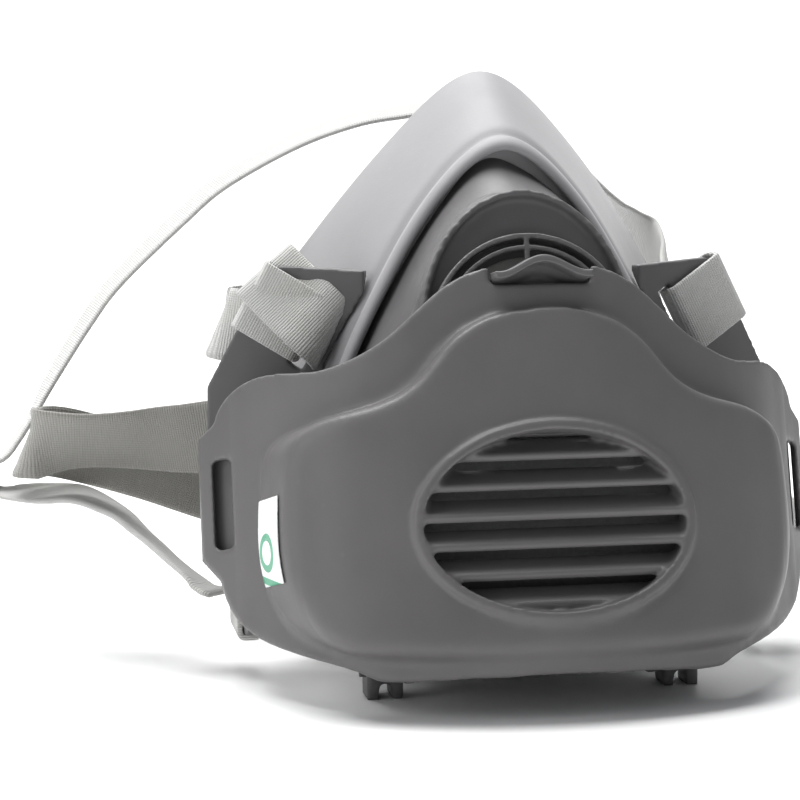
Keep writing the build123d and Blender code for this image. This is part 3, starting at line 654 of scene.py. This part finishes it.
# ------------------------------------------------------------------ strap loops
def woven(made, across):
    """Lays the weave's coordinates on a piece of webbing whose width runs along across."""
    across = np.array(across) / np.linalg.norm(across)
    along = np.cross(across, (0, 1, 0) if abs(across[1]) < 0.9 else (1, 0, 0))
    along /= np.linalg.norm(along)
    layer = made.data.uv_layers.new(name="weave")
    for loop in made.data.loops:
        point = np.array(made.data.vertices[loop.vertex_index].co) / MM
        layer.data[loop.index].uv = (point @ along, point @ across)


def loop_copy(node, across):
    """Woven stand-in for a strap loop."""
    made = softened(node, f"{node}_webbing", 0.3, white_webbing, 2)
    woven(made, across)
    take_place(made, node, "facepiece")


for side, sign in (("left", -1), ("right", 1)):
    loop_copy(f"strap_loop_{side}", (-0.46 * sign, -0.19, 0.87))
    loop_copy(f"strap_loop_low_{side}", (0, 1, 0))

# the left band's long end crosses over its own return, which folds behind the cup
long_end = band(
    "left_long_end",
    [
        ((-34.2, 27.6, 67.0), (-0.52, -0.15, -0.84)),
        ((-35.4, 25.0, 68.6), (-0.54, -0.12, -0.83)),
        ((-38.6, 25.6, 71.8), (-0.6, -0.1, -0.79)),
        ((-42.2, 28.6, 75.6), (-0.7, -0.05, -0.68)),
        ((-47.0, 32.4, 81.0), (-0.8, 0, -0.58)),
    ],
)
short_return = band(
    "left_return",
    [
        ((-43.0, 35.2, 68.0), (-0.1, 0, -1)),
        ((-48.0, 37.2, 68.6), (-0.16, 0, -1)),
        ((-53.0, 39.6, 69.3), (-0.34, 0.05, -0.93)),
        ((-55.0, 41.4, 69.6), (-0.42, 0.1, -0.9)),
        ((-54.2, 43.4, 69.8), (-0.42, 0.1, -0.9)),
        ((-50.5, 44.4, 69.9), (-0.4, 0.1, -0.9)),
    ],
)
for piece in (long_end, short_return):
    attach(piece, "facepiece")

# ------------------------------------------------------------------ filter stack and small parts
# the pad and the felt take the dark fleece colours, which also paint the shade seen between the louvre slats
pad = softened("filter_pad", "filter_fleece_pad", 0.6, pad_fleece, 4)
take_place(pad, "filter_pad", "facepiece")
felt = softened("carbon_layer", "carbon_felt_sheet", 0.5, carbon_and_shade_fleece, 3)
take_place(felt, "carbon_layer", "facepiece")
small_parts = (
    ("filter_gasket", "facepiece", "gasket_black", gasket_rubber, 0.35),
    ("exhale_valve_disc", "exhale_flap", "flap_rubber", flap_rubber, 0.3),
    ("inhale_valve_disc", "inhale_flap", "flap_rubber", flap_rubber, 0.3),
    ("exhale_valve_seat", "facepiece", "valve_plastic", dark_grey, 0.35),
    ("inhale_valve_seat", "facepiece", "valve_plastic", dark_grey, 0.35),
    ("neck_clasp_hook", "facepiece", "clasp_grey", dark_grey, 0.3),
    ("neck_clasp_loop", "facepiece", "clasp_grey", dark_grey, 0.3),
)
for node, body, slot, material, voxel in small_parts:
    take_place(softened(node, f"{node}_moulding", voxel, material, 2), node, body)
finishes = {"hinge_pin_left": dark_grey, "hinge_pin_right": dark_grey}
for node, material in finishes.items():
    for one in nodes[node].material_slots:
        one.material = material

# ------------------------------------------------------------------ stage: floor, sweep and lights
sweep_points = [(-2.5, 0.0), (1.6, 0.0)]
sweep_points += [(1.6 + 0.6 * sin(a), 0.6 - 0.6 * cos(a)) for a in np.linspace(0.1, pi / 2, 12)]
sweep_points += [(2.2, 2.6)]
verts = [(x, y, z) for y, z in sweep_points for x in (-3, 3)]
faces = [(2 * i, 2 * i + 1, 2 * i + 3, 2 * i + 2) for i in range(len(sweep_points) - 1)]
paper = Look("paper", (0.92, 0.92, 0.92), 0.9, Specular_IOR_Level=0.1)
paper.bump(paper.noise(300, 3), 0.00005, 0.2)
floor = new_object("floor_sweep", verts, faces, paper.material)


def soft_light(name, place, aim, size, power, color=(1, 1, 1)):
    data = bpy.data.lights.new(name, "AREA")
    data.shape = "RECTANGLE"
    data.size, data.size_y = size
    data.energy = power
    data.color = color
    lamp = bpy.data.objects.new(name, data)
    lamp.location = place
    lamp.rotation_euler = (Vector(aim) - Vector(place)).to_track_quat("-Z", "Y").to_euler()
    bpy.context.scene.collection.objects.link(lamp)


soft_light("overhead", (-0.15, 0.35, 1.3), (0, 0.02, 0.05), (1.3, 1.0), 38)
soft_light("left_side", (-1.3, -0.25, 0.6), (0, 0, 0.05), (0.7, 0.9), 5)
soft_light("wall", (0, 1.3, 1.2), (0, 2.2, 0.7), (2.4, 1.0), 30)
world = bpy.data.worlds.new("studio")
world.use_nodes = True
world.node_tree.nodes["Background"].inputs["Color"].default_value = (0.9, 0.92, 0.95, 1)
world.node_tree.nodes["Background"].inputs["Strength"].default_value = 0.30
bpy.context.scene.world = world
bpy.context.scene.view_settings.view_transform = "Standard"
